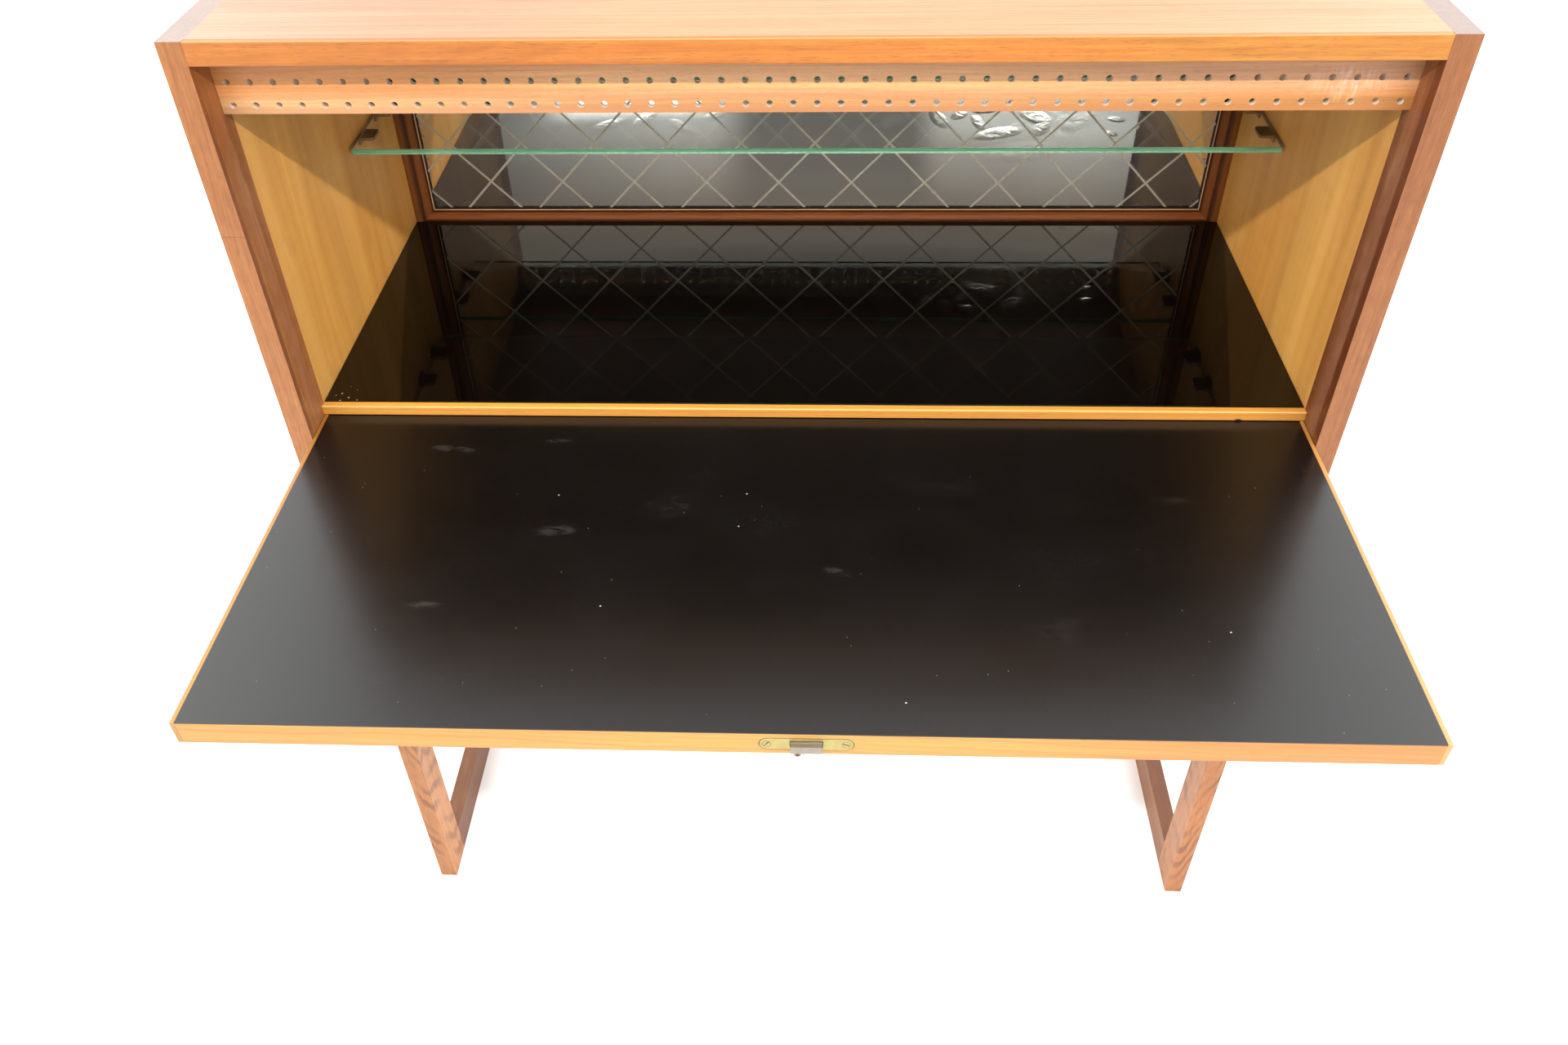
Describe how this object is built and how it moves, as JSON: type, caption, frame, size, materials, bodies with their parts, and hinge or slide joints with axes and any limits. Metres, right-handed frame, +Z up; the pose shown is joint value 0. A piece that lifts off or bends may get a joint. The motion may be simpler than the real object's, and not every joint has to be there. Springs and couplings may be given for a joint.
{
  "type": "bar cabinet",
  "caption": "Bar cabinet on sled sides: drop flap open as a counter, black glass floor, glass shelf, engraved mirror, perforated valance, lock with key.",
  "frame": {"origin": "on the floor, under the middle of the whole cabinet with its flap open (the posts' front plane is at y = -0.0425)", "axes": "+Z up, +X to the viewer's right, +Y towards the cabinet's back; the flap opens towards -Y"},
  "size_m": [1, 0.795, 1.147],
  "materials": {
    "teak": "oiled teak, satin",
    "dark_teak": "dark reddish brown stained moulding, satin",
    "maple": "pale yellow maple veneer, satin lacquer",
    "back_board": "plain plywood",
    "black_glass": null,
    "shelf_glass": "clear glass with green edge",
    "mirror": "silvered, with ground diamond lattice",
    "bronze_plastic": "bronze brown",
    "steel": "worn bright steel",
    "brass": "pale aged brass",
    "black_laminate": "black satin laminate"
  },
  "bodies": {
    "cabinet": {"side_post_front_left": "teak", "side_post_front_right": "teak", "side_post_rear_left": "teak", "side_post_rear_right": "teak", "floor_rail_left": "teak", "floor_rail_right": "teak", "side_panel_left": "teak", "side_panel_right": "teak", "side_lining_left": "maple", "side_lining_right": "maple", "top_board": "teak", "top_front_lipping": "teak", "bottom_board": "teak", "bottom_lip": "teak", "black_glass": "black_glass", "valance": "teak", "back_panel": "back_board", "back_screws": "steel", "mirror": "mirror", "mirror_frame_bottom": "dark_teak", "mirror_frame_top": "dark_teak", "mirror_frame_left": "dark_teak", "mirror_frame_right": "dark_teak", "glass_shelf": "shelf_glass", "shelf_supports": "bronze_plastic", "flap_pivot_left": "brass", "flap_pivot_right": "brass", "pivot_screws": "brass", "strike_plate": "brass", "strike_screws": "brass"},
    "flap": {"flap_core": "teak", "flap_laminate": "black_laminate", "flap_lipping_front": "teak", "flap_lipping_left": "teak", "flap_lipping_right": "teak", "pivot_sockets": "brass", "lock_plate": "brass", "lock_case": "steel", "lock_screws": "brass", "key_escutcheon": "brass"},
    "bolt": {"lock_bolt": "steel"},
    "key": {"lock_key": "steel"}
  },
  "joints": [
    {"name": "flap_hinge", "type": "hinge", "parent": "cabinet", "child": "flap", "pos_m": [0, -0.018, 0.753], "axis": [-1, 0, 0], "range_deg": [0, 90]},
    {"name": "key_turn", "type": "hinge", "parent": "flap", "child": "key", "pos_m": [-0.0004, -0.3787, 0.74], "axis": [0, 0, 1], "range_deg": [0, 180]},
    {"name": "bolt_slide", "type": "slide", "parent": "flap", "child": "bolt", "axis": [0, 1, 0], "range_m": [0, 0.0055]}
  ],
  "couplings": [
    {"joint": "key_turn", "follows": "bolt_slide", "rad_per_m": 571.19}
  ]
}
